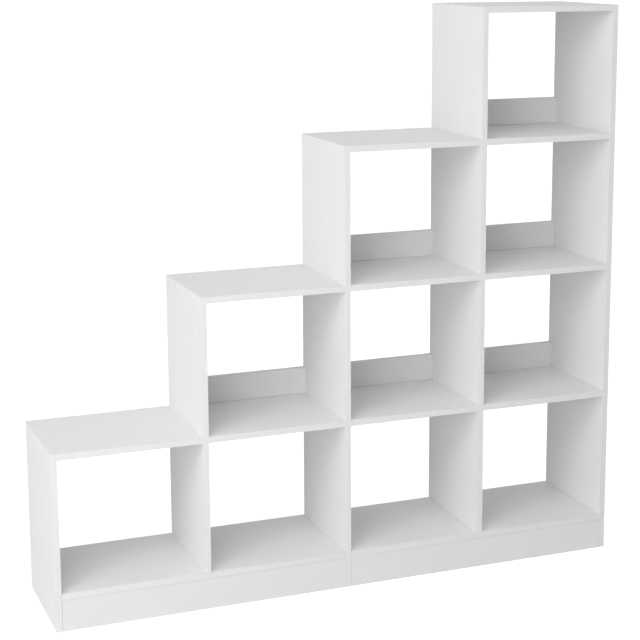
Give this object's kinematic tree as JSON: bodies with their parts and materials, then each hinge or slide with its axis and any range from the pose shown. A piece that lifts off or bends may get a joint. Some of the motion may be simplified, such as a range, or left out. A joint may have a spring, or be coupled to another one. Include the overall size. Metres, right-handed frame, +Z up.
{
  "type": "cube bookcase",
  "caption": "Stair-step cube bookcase: open columns that rise to one side, with low back rails, on a plinth base.",
  "frame": {"origin": "centre of the footprint, on the floor", "axes": "+X along the width towards the tall side, +Y from the front to the back, +Z up"},
  "size_m": [1.451, 0.295, 1.416],
  "materials": {
    "white_board": "satin white melamine on chipboard",
    "zinc_steel": "bright zinc plate"
  },
  "bodies": {
    "root": {"side_left": "white_board", "divider_1": "white_board", "divider_2": "white_board", "divider_3": "white_board", "side_right": "white_board", "base_end_right": "white_board", "bottom_board_left": "white_board", "bottom_board_right": "white_board", "plinth_front_left": "white_board", "plinth_front_right": "white_board", "plinth_rear_left": "white_board", "plinth_rear_right": "white_board", "top_board_column_1": "white_board", "shelf_column_2_level_1": "white_board", "top_board_column_2": "white_board", "back_rail_column_2_level_1": "white_board", "shelf_column_3_level_1": "white_board", "shelf_column_3_level_2": "white_board", "top_board_column_3": "white_board", "back_rail_column_3_level_1": "white_board", "back_rail_column_3_level_2": "white_board", "shelf_column_4_level_1": "white_board", "shelf_column_4_level_2": "white_board", "shelf_column_4_level_3": "white_board", "top_board_column_4": "white_board", "back_rail_column_4_level_1": "white_board", "back_rail_column_4_level_2": "white_board", "back_rail_column_4_level_3": "white_board", "bolt_side_left_level_1_front": "zinc_steel", "bolt_side_left_level_1_rear": "zinc_steel", "bolt_divider_1_level_1_front": "zinc_steel", "bolt_divider_1_level_1_rear": "zinc_steel", "bolt_divider_1_level_2_front": "zinc_steel", "bolt_divider_1_level_2_rear": "zinc_steel", "bolt_divider_2_level_1_front": "zinc_steel", "bolt_divider_2_level_1_rear": "zinc_steel", "bolt_divider_2_level_2_front": "zinc_steel", "bolt_divider_2_level_2_rear": "zinc_steel", "bolt_divider_2_level_3_front": "zinc_steel", "bolt_divider_2_level_3_rear": "zinc_steel", "bolt_divider_3_level_1_front": "zinc_steel", "bolt_divider_3_level_1_rear": "zinc_steel", "bolt_divider_3_level_2_front": "zinc_steel", "bolt_divider_3_level_2_rear": "zinc_steel", "bolt_divider_3_level_3_front": "zinc_steel", "bolt_divider_3_level_3_rear": "zinc_steel", "bolt_divider_3_level_4_front": "zinc_steel", "bolt_divider_3_level_4_rear": "zinc_steel", "bolt_side_right_level_1_front": "zinc_steel", "bolt_side_right_level_1_rear": "zinc_steel", "bolt_side_right_level_2_front": "zinc_steel", "bolt_side_right_level_2_rear": "zinc_steel", "bolt_side_right_level_3_front": "zinc_steel", "bolt_side_right_level_3_rear": "zinc_steel", "bolt_side_right_level_4_front": "zinc_steel", "bolt_side_right_level_4_rear": "zinc_steel", "screw_divider_1_front": "zinc_steel", "screw_divider_1_rear": "zinc_steel", "screw_divider_3_front": "zinc_steel", "screw_divider_3_rear": "zinc_steel"}
  },
  "joints": []
}
